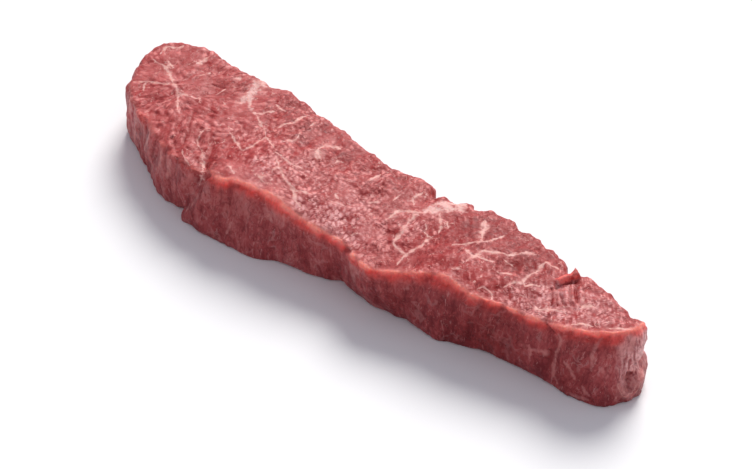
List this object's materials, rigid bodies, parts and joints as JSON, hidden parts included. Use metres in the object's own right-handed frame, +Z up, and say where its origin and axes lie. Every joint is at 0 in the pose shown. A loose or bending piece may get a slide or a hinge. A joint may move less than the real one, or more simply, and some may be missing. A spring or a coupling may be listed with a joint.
{
  "type": "denver steak",
  "caption": "Raw boneless beef steak: a long tapering slab with a wide rounded end, wavy cut sides, fine marbling and a flat underside to lie on.",
  "frame": {"origin": "middle of the bounding box, on the flat underside that the steak rests on", "axes": "+X along the length from the wide rounded end to the narrow cut end, +Y across towards the nicked edge with the strip of fat, +Z up out of the cut top face"},
  "size_m": [0.2472, 0.0672, 0.029],
  "materials": {
    "raw_beef": "moist raw beef: deep red cut muscle with short fibre bundles, thin pale marbling and a soft wet sheen"
  },
  "bodies": {
    "root": {"steak": "raw_beef"}
  },
  "joints": []
}
